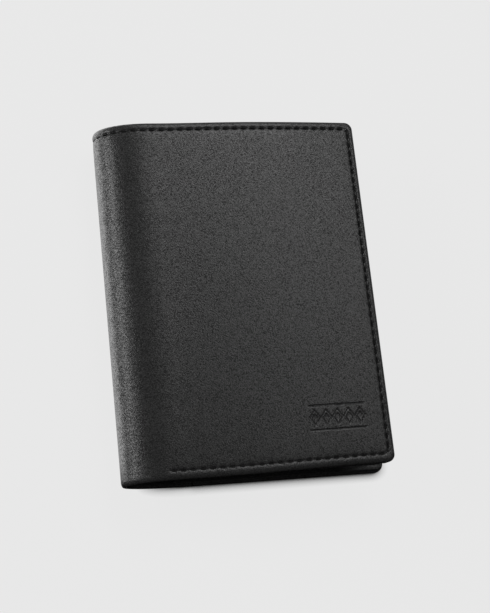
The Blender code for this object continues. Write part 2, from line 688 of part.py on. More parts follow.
def build_padding(right, axis):
    """Foam under the front cover: flat inside, domed outside."""
    rows = [BOTTOM_Y + HEM_CLEAR, TOP_Y - HEM_CLEAR]
    steps = 2 * FLAT_STEPS
    columns = [(FRONT_FLAT_X + (right - FRONT_FLAT_X) * k / steps, rows) for k in range(steps + 1)]

    def outer(column, y):
        x, z = offset_point(front_height, column[0], -1, LEATHER + GAP)
        return x, y, z

    def inner(column, y):
        return offset_point(front_height, column[0], -1, LEATHER + GAP)[0], y, PADDING_Z

    grid_solid("front_padding", columns, outer, inner, FOAM_GREY, axis)


clear_scene()
build_rear()
build_coin_pocket()
build_flap()
build_wing()
build_front(build_spine())
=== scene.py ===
import math
import random

import bpy
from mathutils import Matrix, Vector


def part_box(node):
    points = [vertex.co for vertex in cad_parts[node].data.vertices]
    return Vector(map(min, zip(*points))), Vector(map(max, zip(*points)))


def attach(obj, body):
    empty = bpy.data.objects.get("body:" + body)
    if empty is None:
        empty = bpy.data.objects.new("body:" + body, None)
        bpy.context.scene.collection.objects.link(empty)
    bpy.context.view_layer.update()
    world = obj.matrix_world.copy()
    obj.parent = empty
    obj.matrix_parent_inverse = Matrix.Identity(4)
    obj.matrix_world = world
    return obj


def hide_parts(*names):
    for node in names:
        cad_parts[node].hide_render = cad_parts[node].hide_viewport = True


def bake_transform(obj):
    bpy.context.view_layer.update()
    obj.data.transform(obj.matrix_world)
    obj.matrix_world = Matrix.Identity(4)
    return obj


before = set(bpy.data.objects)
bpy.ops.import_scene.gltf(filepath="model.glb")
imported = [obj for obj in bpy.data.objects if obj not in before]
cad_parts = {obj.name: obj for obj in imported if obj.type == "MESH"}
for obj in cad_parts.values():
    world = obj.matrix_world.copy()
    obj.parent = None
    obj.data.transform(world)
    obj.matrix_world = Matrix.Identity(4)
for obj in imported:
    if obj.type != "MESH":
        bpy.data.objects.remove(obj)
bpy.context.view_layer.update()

# The wallet, in metres: X from the spine to the fore-edge, Y to its top, Z out of the front cover
HEIGHT = 0.125
WIDTH = 0.0953
OVERHANG = 0.0020
THICKNESS = 0.0214
FRONT_SHOULDER = 0.0191
REAR_SHOULDER = 0.0260
FRONT_SHOULDER_POWER = 2.13
DOME = 0.0012
SPINE_LEVEL = 0.486

# Leather, its turned hems and linings
LEATHER = 0.0012
TOP_HEM = 0.0022
FRONT_HEM = 0.0027
REAR_HEM = 0.0031
HEM_WIDTH = 0.0055
HEM_STEP = 0.0003
LINING = 0.0003
SPINE_LINING_DEPTH = 0.0015
COVER_LINING_DEPTH = 0.0023
CLOTH_SHARE = 0.7            # of the lining's room that the cloth fills
RIPPLE_SHARE = 0.15
RIPPLES = (700, 900)         # radians a metre, along and up
LINING_STEPS = (0.0015, 0.003)
FRONT_CORNER = 0.0028
FRONT_LIFT = 0.0010          # the front's lower edge rises this much on its way to the fore-edge
REAR_CORNER = 0.0032
RIM_RUN = 0.0018             # the edge rounds off over this run, by this drop
RIM_DROP = 0.0009

# Seams
TOP_SEAM_INSET = 0.0026
SIDE_SEAM_INSET = 0.0021
BOTTOM_SEAM_INSET = 0.0029
BOTTOM_SEAM_START = 0.0152
STITCH_PITCH = 0.0033
STITCH_LENGTH = 0.0019
THREAD = 0.00048
STITCH_SLANT = math.radians(-12)
STITCH_DIP = 0.7             # its ends sink into the leather by this many threads
STITCH_SINK = 0.8            # its middle lies under the face by this share of its press
INNER_SINK = 0.25            # and on the inner pieces by this share of a thread
TILT_SPREAD = 0.04           # radians either way
INNER_TILT_SPREAD = 0.03
BACKSTITCHES = 2             # sewn beside the start of the bottom seam
SEAM_CORNER = 0.0012
GROOVE_DEPTH = 0.00009       # of the channel along the top and bottom seams
SIDE_GROOVE_DEPTH = 0.00030  # and along the fore-edge
GROOVE_REACH = 0.00046
PRESS_DEPTH = 0.00032        # added under each stitch
PRESS_HALF = 0.58            # a press ends this far from its middle, and is full
PRESS_FADE = 0.25            # this much nearer, in stitch lengths
PILLOW_DEPTH = 0.00030       # the leather inside the seam lies up to this much lower,
PILLOW_REACH = 0.0019        # and rises again over this reach
PILLOW_EVENNESS = 0.6        # share of that depth which is the same all along the seam
PUCKER_REACH = 0.001

# Tooled band on the front
BAND_X = 0.0266
BAND_Y = -0.0455
BAND_LENGTH = 0.0205
BAND_HEIGHT = 0.0084
BAND_LOZENGES = 5
BAND_LINE = 0.00028
BAND_DEPTH = 0.00026
LOZENGE_WIDE = 0.44          # half its width, as a share of the pitch
LOZENGE_TALL = 0.30          # half its height, as a share of the band's
LOZENGE_CORE = 0.55          # the sunk middle starts this share of the way in

# Mesh spacing
CELL = 0.0009
FINE = 0.00024
RIM_STEPS = 6
TURN_STEP = 0.5              # degrees
FLAT_STEP = 0.0015

SPINE_X = -WIDTH / 2
REAR_EDGE_X = WIDTH / 2
FRONT_EDGE_X = REAR_EDGE_X - OVERHANG
REAR_FLAT_X = SPINE_X + REAR_SHOULDER
FRONT_FLAT_X = SPINE_X + FRONT_SHOULDER
SPINE_Z = THICKNESS * SPINE_LEVEL
TOP_Y = HEIGHT / 2
BOTTOM_Y = -HEIGHT / 2

SMOOTH_ANGLE = math.radians(40)
METAL_SMOOTH_ANGLE = math.radians(32)
EDGE_ANGLE = math.radians(50)
WELD = 0.00001

# Inner pieces
LARGE_FACE = 0.00001         # flat faces over this area, in square metres, are shaded flat
CUT_INSET = 0.0060
LEAF_CORNER = 0.0020
ROOT_CORNER = 0.0003         # of the wall that carries the flap
STRIP_CORNER = 0.0002        # of the cloth that the wing is sewn to
CORNER_STEPS = 6
LEAF_EDGE = 0.00018
POCKET_EDGE = 0.00015
THIN_EDGE = 0.0001
FILM_EDGE = 0.00005
LEAF_LINE = 0.0013           # inset of the creased line
CARD_LINE = 0.0016
FRAME_LINE = 0.0011
CREASE_WIDTH = 0.0005
CREASE_DEPTH = 0.00013
FILM_LAP = 0.0040
WINDOW_MARGIN = 0.0018       # between the frame's opening and the seam round it
BELLOWS_LEATHER = 0.00035
BELLOWS_REACH = 0.0017
BELLOWS_FOLDS = (0, 0.08, 0.5, 0.93, 0.93, 0.5, 0.1, 0.1, 0.5, 0.93, 0.93, 0.5, 0.08, 0)
PADDING_WAIST = 0.0006
PADDING_GAP = 0.0003
PADDING_STEPS = (0.003, 0.004)
PADDING_SHELL = 0.0005       # thickness of the sheet that it starts from
PADDING_EDGE = 0.003
PADDING_THINNING = 0.45
POCKET_STEP = 0.004
HOLE_SIDES = 32
BIT_LENGTH = 0.01
SPIN_STEPS = 48
SHANK_HOLE = 0.0014
SOCKET_HOLE = 0.0038

# Camera and lamps, fitted to the photograph
CAMERA_LENS = 81.685
CAMERA_PLACE = (-0.12895, -0.121185, 0.464483)
CAMERA_TURN = (15.7713, -14.4016, -6.2029)
LAMP_DISTANCE = 0.9
LAMP_TARGET = (0, 0, 0.02)
WORLD_LEVEL = 0.11

# Leather grain
PEBBLE_SCALE = 3100          # cells a metre
PEBBLE_HEIGHT = 0.00005
SMALL_PEBBLE_SCALE = PEBBLE_SCALE * 2.3
SMALL_PEBBLE_SHARE = 0.35
CREASE_SHARE = 0.15
CREASE_LINE = 0.06           # the creases follow a noise where it is this near to its middle
SPINE_CREASE_SHARE = 0.16    # on the cover, up to the first of these runs from the spine's line,
FLAT_CREASE_SHARE = 0.05     # and beyond the second
CREASE_RUNS = (0.016, 0.036)
SHEEN = (0.06, 0.47)         # specular level in the pits and on the pebbles, a painted shade that dulls the sheen in the pits
MEAN_SHEEN = 0.27            # where the level can't vary
ROUGHNESS_SPREAD = 0.015

# The floor
FLOOR_LEVEL = 0.807
FLOOR_EVENNESS = 0.97
MIRRORED_LEVEL = 0.85        # as the leather mirrors it,
PAINTED_LIGHT_STRIP_LEVEL = 9.0          # and on a strip beside the spine, where it glows as a painted light
STRIP_RISE = (SPINE_X - 0.03, SPINE_X)
STRIP_FADE = (SPINE_X - 0.075, SPINE_X - 0.055)
# painted shade in the leather's reflections: the floor it mirrors is black below the first Y and back to full
# by the second
PAINTED_SHADE_FADE = (BOTTOM_Y, BOTTOM_Y + 0.01)
SHADOW_REACH = 0.0034
SHADOW_DEPTH = 0.95
SHADOW_FALL = 1.3
SHADOW_BEFORE = (BOTTOM_Y, BOTTOM_Y + 0.008)         # full below the first, none above the second
SHADOW_BESIDE = (SPINE_X - 0.004, SPINE_X + 0.022)   # none left of the first, full right of the second
SHADOW_SAMPLES = 16


def clear_selection():
    bpy.ops.object.select_all(action="DESELECT")


def pick(piece):
    clear_selection()
    piece.select_set(True)
    bpy.context.view_layer.objects.active = piece


def edit(piece):
    """Opens a piece for editing with nothing selected."""
    pick(piece)
    bpy.ops.object.mode_set(mode="EDIT")
    bpy.ops.mesh.select_all(action="DESELECT")


def select(piece, kind, wanted):
    """Selects the faces or edges of an opened piece for which wanted() is true."""
    bpy.ops.mesh.select_mode(type=kind)
    bpy.ops.mesh.select_all(action="DESELECT")
    bpy.ops.object.mode_set(mode="OBJECT")
    items = {"FACE": piece.data.polygons, "EDGE": piece.data.edges}[kind]
    for item in items:
        item.select = wanted(item)
    bpy.ops.object.mode_set(mode="EDIT")


def stop_editing():
    bpy.ops.object.mode_set(mode="OBJECT")


def settle(piece):
    """Puts a piece's place, turn and size in its mesh."""
    pick(piece)
    bpy.ops.object.transform_apply(location=True, rotation=True, scale=True)


def apply_modifier(piece, kind, **settings):
    pick(piece)
    change = piece.modifiers.new(kind.lower(), kind)
    for name, value in settings.items():
        setattr(change, name, value)
    bpy.ops.object.modifier_apply(modifier=change.name)


def smooth(piece, angle=SMOOTH_ANGLE):
    pick(piece)
    bpy.ops.object.shade_smooth_by_angle(angle=angle)


def join(pieces, name):
    clear_selection()
    for piece in pieces:
        piece.select_set(True)
    bpy.context.view_layer.objects.active = pieces[0]
    bpy.ops.object.join()
    pieces[0].name = name
    pieces[0].data.name = name
    return pieces[0]


def block(name, low, high):
    """A box between two corners."""
    clear_selection()
    bpy.ops.mesh.primitive_cube_add(size=1, location=(Vector(low) + Vector(high)) / 2)
    piece = bpy.context.object
    piece.name = name
    piece.data.name = name
    piece.scale = Vector(high) - Vector(low)
    settle(piece)
    return piece


def ruled(marks, step):
    """Grid lines: all the marks, and others between them no further apart than a step."""
    lines = []
    for near, far in zip(marks, marks[1:]):
        count = max(math.ceil((far - near) / step - 0.001), 1)
        lines += [near + (far - near) * k / count for k in range(count)]
    return lines + [marks[-1]]


def sheet_of(name, columns, rows):
    """A flat sheet on the bench, with a grid line at each place given."""
    clear_selection()
    bpy.ops.mesh.primitive_grid_add(x_subdivisions=len(columns) - 1, y_subdivisions=len(rows) - 1, size=2)
    piece = bpy.context.object
    piece.name = name
    piece.data.name = name
    for point in piece.data.vertices:
        column = round((point.co.x + 1) / 2 * (len(columns) - 1))
        row = round((point.co.y + 1) / 2 * (len(rows) - 1))
        point.co = (columns[column], rows[row], 0)
    return piece


def make_camera():
    data = bpy.data.cameras.new("photo_camera")
    data.sensor_width = 36
    data.lens = CAMERA_LENS
    camera = bpy.data.objects.new("photo_camera", data)
    bpy.context.scene.collection.objects.link(camera)
    camera.location = CAMERA_PLACE
    camera.rotation_euler = [math.radians(turn) for turn in CAMERA_TURN]
    bpy.context.scene.camera = camera


# Materials

def new_material(name, colour, roughness, specular=0.5):
    material = bpy.data.materials.new(name)
    material.use_nodes = True
    shader = material.node_tree.nodes["Principled BSDF"]
    shader.inputs["Base Color"].default_value = (*colour, 1)
    shader.inputs["Roughness"].default_value = roughness
    shader.inputs["Specular IOR Level"].default_value = specular
    return material, material.node_tree, shader


def mapped(tree, source, stretch=(1, 1, 1), turn=0):
    """Coordinates of a pattern, stretched and turned."""
    coordinates = tree.nodes.new("ShaderNodeTexCoord")
    mapping = tree.nodes.new("ShaderNodeMapping")
    mapping.inputs["Scale"].default_value = stretch
    mapping.inputs["Rotation"].default_value = (0, 0, turn)
    tree.links.new(coordinates.outputs[source], mapping.inputs["Vector"])
    return mapping.outputs["Vector"]


def noise(tree, vector, scale, detail=3, roughness=0.5):
    made = tree.nodes.new("ShaderNodeTexNoise")
    made.inputs["Scale"].default_value = scale
    made.inputs["Detail"].default_value = detail
    made.inputs["Roughness"].default_value = roughness
    tree.links.new(vector, made.inputs["Vector"])
    return made.outputs["Fac"]


def cells(tree, vector, scale, feature="SMOOTH_F1"):
    made = tree.nodes.new("ShaderNodeTexVoronoi")
    made.feature = feature
    made.inputs["Scale"].default_value = scale
    tree.links.new(vector, made.inputs["Vector"])
    return made.outputs["Distance"]


def maths(tree, operation, first, second):
    made = tree.nodes.new("ShaderNodeMath")
    made.operation = operation
    for socket, value in zip(made.inputs, (first, second)):
        if isinstance(value, (int, float)):
            socket.default_value = value
        else:
            tree.links.new(value, socket)
    return made.outputs[0]


def spread(tree, value, low, high, to_low, to_high):
    """Maps a value's range to another."""
    made = tree.nodes.new("ShaderNodeMapRange")
    for name, number in (("From Min", low), ("From Max", high), ("To Min", to_low), ("To Max", to_high)):
        made.inputs[name].default_value = number
    tree.links.new(value, made.inputs["Value"])
    return made.outputs["Result"]


def blend_colours(tree, share, first, second):
    made = tree.nodes.new("ShaderNodeMix")
    made.data_type = "RGBA"
    made.inputs["A"].default_value = (*first, 1)
    made.inputs["B"].default_value = (*second, 1)
    tree.links.new(share, made.inputs["Factor"])
    return made.outputs["Result"]


def bump(tree, shader, height, distance, strength=1.0):
    made = tree.nodes.new("ShaderNodeBump")
    made.inputs["Strength"].default_value = strength
    made.inputs["Distance"].default_value = distance
    tree.links.new(height, made.inputs["Height"])
    tree.links.new(made.outputs["Normal"], shader.inputs["Normal"])


def shaken(tree, vector, scale, reach):
    """Coordinates pushed about by a noise, so that a pattern on them loses its evenness."""
    pushes = tree.nodes.new("ShaderNodeTexNoise")
    pushes.inputs["Scale"].default_value = scale
    pushes.inputs["Detail"].default_value = 2
    tree.links.new(vector, pushes.inputs["Vector"])
    centred = tree.nodes.new("ShaderNodeVectorMath")
    centred.operation = "SUBTRACT"
    centred.inputs[1].default_value = (0.5, 0.5, 0.5)
    tree.links.new(pushes.outputs["Color"], centred.inputs[0])
    scaled = tree.nodes.new("ShaderNodeVectorMath")
    scaled.operation = "SCALE"
    scaled.inputs["Scale"].default_value = reach
    tree.links.new(centred.outputs[0], scaled.inputs[0])
    moved = tree.nodes.new("ShaderNodeVectorMath")
    moved.operation = "ADD"
    tree.links.new(vector, moved.inputs[0])
    tree.links.new(scaled.outputs[0], moved.inputs[1])
    return moved.outputs[0]


def leather(name, colour, pale, roughness, source):
    """Soft calf: round pebbles crossed by fine creases, paler and a little rougher in patches, with painted
    shade, a darker colour and a duller sheen, in the pits and creases.

    Cover leather, mapped by its place on the uncut hide, is creased more near the spine.
    """
    material, tree, shader = new_material(name, colour, roughness, MEAN_SHEEN)
    plain = mapped(tree, source)
    uneven = shaken(tree, plain, 1100, 0.0004)
    pebbles = cells(tree, uneven, PEBBLE_SCALE)
    small_pebbles = cells(tree, uneven, SMALL_PEBBLE_SCALE)
    slanted = shaken(tree, mapped(tree, source, (0.7, 1.7, 1), math.radians(-20)), 300, 0.002)
    creases = noise(tree, slanted, 420, 4, 0.6)
    patches = noise(tree, plain, 60, 3)
    from_middle = maths(tree, "ABSOLUTE", maths(tree, "SUBTRACT", creases, 0.5), 0)
    crease_lines = spread(tree, from_middle, 0, CREASE_LINE, 1, 0)
    crease_share = CREASE_SHARE
    if source == "UV":
        place = tree.nodes.new("ShaderNodeSeparateXYZ")
        tree.links.new(plain, place.inputs[0])
        from_spine = maths(tree, "ABSOLUTE", place.outputs["X"], 0)
        crease_share = spread(tree, from_spine, *CREASE_RUNS, SPINE_CREASE_SHARE, FLAT_CREASE_SHARE)
    large = maths(tree, "MULTIPLY", pebbles, -1)
    small = maths(tree, "MULTIPLY", small_pebbles, -SMALL_PEBBLE_SHARE)
    height = maths(tree, "ADD", large, small)
    height = maths(tree, "SUBTRACT", height, maths(tree, "MULTIPLY", crease_lines, crease_share))
    bump(tree, shader, height, PEBBLE_HEIGHT)
    # painted shade: the colour is darker and the sheen duller in the pits and creases between the pebbles'
    # tops
    tops = spread(tree, height, -0.85, -0.25, 0, 1)
    tone_and_pit_shade = maths(tree, "ADD", maths(tree, "MULTIPLY", patches, 0.4), maths(tree, "MULTIPLY", tops, 0.5))
    tree.links.new(blend_colours(tree, spread(tree, tone_and_pit_shade, 0.2, 0.7, 0, 1), colour, pale),
                   shader.inputs["Base Color"])
    tree.links.new(spread(tree, tops, 0, 1, *SHEEN), shader.inputs["Specular IOR Level"])
    smoother, rougher = roughness - ROUGHNESS_SPREAD, roughness + ROUGHNESS_SPREAD
    tree.links.new(spread(tree, patches, 0.3, 0.7, smoother, rougher), shader.inputs["Roughness"])
    return material


def thread_material():
    material, tree, shader = new_material("black_thread", (0.003, 0.003, 0.003), 0.7, 0.12)
    vector = mapped(tree, "Object")
    fibres = noise(tree, mapped(tree, "Object", (1, 1, 1), math.radians(40)), 9000, 2)
    bump(tree, shader, fibres, 0.00006)
    tint = blend_colours(tree, noise(tree, vector, 2500), (0.002, 0.002, 0.002), (0.006, 0.006, 0.006))
    tree.links.new(tint, shader.inputs["Base Color"])
    return material


def cloth_material():
    """Plain-woven lining: two crossed sets of yarns."""
    material, tree, shader = new_material("woven_lining", (0.020, 0.020, 0.022), 0.8, 0.3)
    coordinates = mapped(tree, "Object")
    waves = []
    for direction in ("X", "Y"):
        wave = tree.nodes.new("ShaderNodeTexWave")
        wave.bands_direction = direction
        wave.inputs["Scale"].default_value = 900
        wave.inputs["Distortion"].default_value = 0.6
        tree.links.new(coordinates, wave.inputs["Vector"])
        waves.append(wave.outputs["Fac"])
    weave = maths(tree, "MAXIMUM", *waves)
    bump(tree, shader, weave, 0.00008)
    tree.links.new(blend_colours(tree, weave, (0.012, 0.012, 0.013), (0.030, 0.030, 0.033)),
                   shader.inputs["Base Color"])
    return material


def board_material():
    material, tree, shader = new_material("bonded_board", (0.16, 0.14, 0.12), 0.9, 0.2)
    coordinates = mapped(tree, "Object")
    fibres = noise(tree, coordinates, 1800, 5, 0.7)
    bump(tree, shader, fibres, 0.0001)
    tree.links.new(blend_colours(tree, fibres, (0.12, 0.105, 0.09), (0.22, 0.20, 0.17)),
                   shader.inputs["Base Color"])
    return material


def foam_material():
    material, tree, shader = new_material("dense_foam", (0.05, 0.05, 0.055), 0.95, 0.2)
    coordinates = mapped(tree, "Object")
    bubbles = cells(tree, coordinates, 2600, "F1")
    bump(tree, shader, bubbles, 0.00015)
    tree.links.new(blend_colours(tree, bubbles, (0.035, 0.035, 0.038), (0.08, 0.08, 0.085)),
                   shader.inputs["Base Color"])
    return material


def film_material():
    material, tree, shader = new_material("clear_vinyl", (0.92, 0.94, 0.95), 0.12)
    shader.inputs["Transmission Weight"].default_value = 1
    shader.inputs["IOR"].default_value = 1.15
    coordinates = mapped(tree, "Object")
    waves = noise(tree, coordinates, 70, 2)
    bump(tree, shader, waves, 0.0004, 0.5)
    tree.links.new(spread(tree, noise(tree, coordinates, 900, 3), 0.3, 0.7, 0.06, 0.2),
                   shader.inputs["Roughness"])
    return material


def metal_material():
    material, tree, shader = new_material("blackened_metal", (0.20, 0.19, 0.18), 0.3)
    shader.inputs["Metallic"].default_value = 1
    coordinates = mapped(tree, "Object")
    scratches = noise(tree, mapped(tree, "Object", (1, 14, 1), math.radians(20)), 900, 4)
    bump(tree, shader, scratches, 0.00002)
    tree.links.new(spread(tree, noise(tree, coordinates, 1600, 4), 0.3, 0.7, 0.22, 0.42),
                   shader.inputs["Roughness"])
    return material


def paint(piece, material):
    piece.data.materials.clear()
    piece.data.materials.append(material)


# The cover's section

def front_base(x):
    share = min(max((FRONT_FLAT_X - x) / FRONT_SHOULDER, 0), 1)
    rise = (1 - share ** FRONT_SHOULDER_POWER) ** (1 / FRONT_SHOULDER_POWER)
    return SPINE_Z + (THICKNESS - SPINE_Z) * rise


def crown(x):
    """Rise of the padded front: steep at the fore-edge, fading out towards the spine."""
    half = (FRONT_EDGE_X - FRONT_FLAT_X) / 2
    share = (x - FRONT_FLAT_X - half) / half
    rise = max(1 - share ** 2, 0)
    return DOME * (rise ** 2 if share < 0 else rise)


def rear_section():
    """Outer face of the rear, from the spine's outermost line to its fore-edge."""
    points = []
    count = round(90 / TURN_STEP)
    for k in range(count, -1, -1):
        turn = math.radians(TURN_STEP * k)
        points.append((REAR_FLAT_X - REAR_SHOULDER * math.sin(turn), SPINE_Z * (1 - math.cos(turn))))
    count = math.ceil((REAR_EDGE_X - REAR_FLAT_X) / FLAT_STEP)
    return points + [(REAR_FLAT_X + (REAR_EDGE_X - REAR_FLAT_X) * k / count, 0) for k in range(1, count + 1)]


def front_section(domed):
    """Outer face of the front, from the spine's outermost line to its fore-edge."""
    points = []
    count = round(90 / TURN_STEP)
    for k in range(count + 1):
        x = FRONT_FLAT_X - FRONT_SHOULDER * math.cos(math.radians(TURN_STEP * k))
        points.append((x, front_base(x)))
    count = math.ceil((FRONT_EDGE_X - FRONT_FLAT_X) / FLAT_STEP)
    for k in range(1, count + 1):
        x = FRONT_FLAT_X + (FRONT_EDGE_X - FRONT_FLAT_X) * k / count
        points.append((x, front_base(x) + (crown(x) if domed else 0)))
    return points


def run_of(points):
    return sum(math.dist(near, far) for near, far in zip(points, points[1:]))


REAR_RUN = run_of(rear_section())
FRONT_RUN = run_of(front_section(True))


def front_run_at(x):
    """Run from the spine's outermost line to the section's last point up to a place on the front."""
    return run_of([point for point in front_section(True) if point[0] <= x])


BAND_RUN = front_run_at(BAND_X)


def section_curve(name, points):
    """A path along the section, round which flat pieces are bent; it starts at the spine."""
    data = bpy.data.curves.new(name, "CURVE")
    data.dimensions = "3D"
    data.twist_mode = "Z_UP"
    spline = data.splines.new("POLY")
    spline.points.add(len(points) - 1)
    for point, (x, z) in zip(spline.points, points):
        point.co = (x, 0, z, 1)
    curve = bpy.data.objects.new(name, data)
    bpy.context.scene.collection.objects.link(curve)
    return curve


def wrap(piece, curve):
    """Bends a flat piece round the wallet's section."""
    apply_modifier(piece, "CURVE", object=curve, deform_axis="POS_X")


# The two halves of the cover

class Half:
    """One half of the hide, laid flat: X is the run from the spine's outermost line.

    Out of the wallet is up on the front's bench and down on the rear's; side is 1 and -1.
    """

    def __init__(self, side, run, corner, hem, flat_run, seam_start):
        self.side = side
        self.run = run
        self.corner = corner
        self.hem = hem
        self.flat_run = flat_run
        self.seam_start = seam_start
        self.seam_side = run - SIDE_SEAM_INSET
        self.seam_top = TOP_Y - TOP_SEAM_INSET
        self.seam_bottom = BOTTOM_Y + BOTTOM_SEAM_INSET

    def outside_seam(self, run, y):
        """Signed distance outside the line of stitches, whose corners are cut across."""
        side = run - self.seam_side
        top = y - self.seam_top
        bottom = self.seam_bottom - y
        diagonal = (side + max(top, bottom) + SEAM_CORNER) / math.sqrt(2)
        return max(side, top, bottom, diagonal)

    def phase(self, run, y):
        """Place between two needle holes: 0 and 1 are holes."""
        side = run - self.seam_side
        if side > max(y - self.seam_top, self.seam_bottom - y):
            return ((self.seam_top - SEAM_CORNER - y) / self.side_pitch()) % 1
        return ((self.seam_side - SEAM_CORNER - run) / STITCH_PITCH) % 1

    def side_pitch(self):
        length = self.seam_top - self.seam_bottom - 2 * SEAM_CORNER
        return length / round(length / STITCH_PITCH)

    def sewn(self, run, y):
        """1 where the leather is sewn, fading to 0 where the bottom seam has not begun."""
        if y > 0 or run > self.seam_side - HEM_WIDTH:
            return 1
        return min(max((run - self.seam_start) / STITCH_LENGTH + 0.5, 0), 1)

    def relief(self, run, y):
        """How far the sewn leather lies under its plain face."""
        outside = self.outside_seam(run, y)
        near = math.exp(-(outside / GROOVE_REACH) ** 2)
        from_middle = abs(self.phase(run, y) - 0.5) * STITCH_PITCH
        laid = min(max((STITCH_LENGTH * PRESS_HALF - from_middle) / (STITCH_LENGTH * PRESS_FADE), 0), 1)
        at_side = run - self.seam_side > max(y - self.seam_top, self.seam_bottom - y)
        line = SIDE_GROOVE_DEPTH if at_side else GROOVE_DEPTH
        depth = (line + PRESS_DEPTH * laid) * near
        if outside < 0:
            pucker = laid * math.exp(outside / PUCKER_REACH)
            share = PILLOW_EVENNESS + (1 - PILLOW_EVENNESS) * pucker
            depth += PILLOW_DEPTH * share * math.exp(outside / PILLOW_REACH)
        return depth * self.sewn(run, y)

    def lift(self, run, y):
        """The lower edge of the front is cut a little askew."""
        if self.side < 0 or y > 0:
            return 0
        share = max(run - self.run / 2, 0) / (self.run / 2)
        return FRONT_LIFT * share * min(y / BOTTOM_Y, 1)

    def from_edge(self, run, y):
        """Distance inside the half's outline, whose free corners are round."""
        side = self.run - run
        end = TOP_Y - abs(y)
        if side < self.corner and end < self.corner:
            return self.corner - math.hypot(self.corner - side, self.corner - end)
        return min(side, end)


def rim_drop(distance):
    share = max(RIM_RUN - distance, 0) / RIM_RUN
    return RIM_DROP * (1 - math.sqrt(max(1 - share ** 2, 0)))


def rim_marks():
    return [RIM_RUN * (1 - math.cos(math.radians(90 * k / RIM_STEPS))) for k in range(RIM_STEPS + 1)]


def edge_marks(inset):
    """Distances from an edge at which the hide needs a grid line."""
    seam = [inset + FINE * k for k in (-3, -2, -1, 0, 1, 2, 3)]
    rim = [mark for mark in rim_marks() if mark < seam[0] - FINE / 2]
    return rim + seam + [HEM_WIDTH, HEM_WIDTH + HEM_STEP]


def hide(name, half, curve, material):
    """A half of the cover, cut flat, hemmed, sewn and then bent round the section."""
    runs = ruled([0] + sorted(half.run - mark for mark in edge_marks(SIDE_SEAM_INSET)), CELL)
    rows = [BOTTOM_Y + mark for mark in edge_marks(BOTTOM_SEAM_INSET)]
    rows += sorted(TOP_Y - mark for mark in edge_marks(TOP_SEAM_INSET))
    piece = sheet_of(name, runs, ruled(rows, CELL))
    refine(piece, 1, lambda run, y: half.from_edge(run, y) < HEM_WIDTH)
    if half.side > 0:
        refine(piece, 3, in_band)
    thicken(piece, half, LEATHER)
    for point in piece.data.vertices:
        run, y, depth = point.co
        reach = max(run - half.run + half.corner, 0)
        drop = half.corner - math.sqrt(max(half.corner ** 2 - reach ** 2, 0))
        from_end = TOP_Y - abs(y)
        y -= math.copysign(drop * max(1 - from_end / HEM_WIDTH, 0), y)
        edge = max(half.from_edge(run, y), 0)
        if abs(depth) < LEATHER / 2:
            under = rim_drop(edge) + half.relief(run, y) + tooling(half, run, y)
        else:
            under = hem_depth(half, run, y) - rim_drop(edge)
        point.co = (run, y + half.lift(run, y), -half.side * under)
    keep_flat_map(piece, half)
    wrap(piece, curve)
    smooth(piece)
    paint(piece, material)
    return piece


def thicken(piece, half, depth):
    """Gives a flat sheet its thickness, into the wallet."""
    if half.side < 0:
        edit(piece)
        bpy.ops.mesh.select_all(action="SELECT")
        bpy.ops.mesh.flip_normals()
        stop_editing()
    apply_modifier(piece, "SOLIDIFY", thickness=depth, offset=-1)


def refine(piece, cuts, wanted):
    """Divides the faces of a flat sheet whose middles are wanted."""
    edit(piece)
    select(piece, "FACE", lambda face: wanted(face.center.x, face.center.y))
    bpy.ops.mesh.subdivide(number_cuts=cuts)
    stop_editing()


def in_band(run, y):
    margin = 2 * CELL
    across = abs(run - BAND_RUN) < BAND_LENGTH / 2 + margin
    return across and abs(y - BAND_Y) < BAND_HEIGHT / 2 + margin


def pressed(distance):
    """Share of a tool's depth at a distance from the middle of its line."""
    return math.exp(-(distance / BAND_LINE) ** 4)


def tooling(half, run, y):
    """Depth of the tooled band: lozenges between two rules."""
    if half.side < 0 or not in_band(run, y):
        return 0
    along = run - BAND_RUN
    up = y - BAND_Y
    share = 0
    if abs(along) < BAND_LENGTH / 2:
        share = pressed(abs(up) - BAND_HEIGHT / 2)
    pitch = BAND_LENGTH / BAND_LOZENGES
    nearest = (math.floor(along / pitch + 0.5)) * pitch
    if abs(nearest) < BAND_LENGTH / 2:
        wide = pitch * LOZENGE_WIDE
        tall = BAND_HEIGHT * LOZENGE_TALL
        slope = 1 / math.hypot(1 / wide, 1 / tall)
        outline = (abs(along - nearest) / wide + abs(up) / tall - 1) * slope
        share = max(share, pressed(outline), pressed(max(outline + slope * LOZENGE_CORE, 0)))
    return BAND_DEPTH * share


def hem_depth(half, run, y):
    slack = HEM_STEP / 2
    if y > TOP_Y - HEM_WIDTH - slack:
        return TOP_HEM
    if y < BOTTOM_Y + HEM_WIDTH + slack:
        return half.hem if run > half.flat_run else TOP_HEM
    if run > half.run - HEM_WIDTH - slack:
        return half.hem
    return LEATHER


def keep_flat_map(piece, half):
    """Keeps each point's place on the uncut hide as its UV map, in metres."""
    layer = piece.data.uv_layers[0]
    for loop in piece.data.loops:
        place = piece.data.vertices[loop.vertex_index].co
        layer.data[loop.index].uv = (place.x * half.side, place.y)


def stitch_places(half):
    """Middle and direction of each stitch of a half, on the bench."""
    places = []
    top_end = half.seam_side - SEAM_CORNER
    count = int(top_end / STITCH_PITCH)
    for k in range(count + 1):
        run = top_end - (k + 0.5) * STITCH_PITCH
        if run > THREAD:
            places.append((run, half.seam_top, 0))
        if run > half.seam_start:
            places.append((run, half.seam_bottom, 0))
    first = top_end - (int((top_end - half.seam_start) / STITCH_PITCH - 0.5) + 0.5) * STITCH_PITCH
    for k in range(BACKSTITCHES):
        places.append((first + (k + 0.5) * STITCH_PITCH, half.seam_bottom + THREAD, 0))
    pitch = half.side_pitch()
    length = half.seam_top - half.seam_bottom - 2 * SEAM_CORNER
    for k in range(round(length / pitch)):
        places.append((half.seam_side, half.seam_top - SEAM_CORNER - (k + 0.5) * pitch, math.radians(90)))
    across = SEAM_CORNER / 2
    places.append((half.seam_side - across, half.seam_bottom + across, math.radians(45)))
    places.append((half.seam_side - across, half.seam_top - across, math.radians(-45)))
    return places


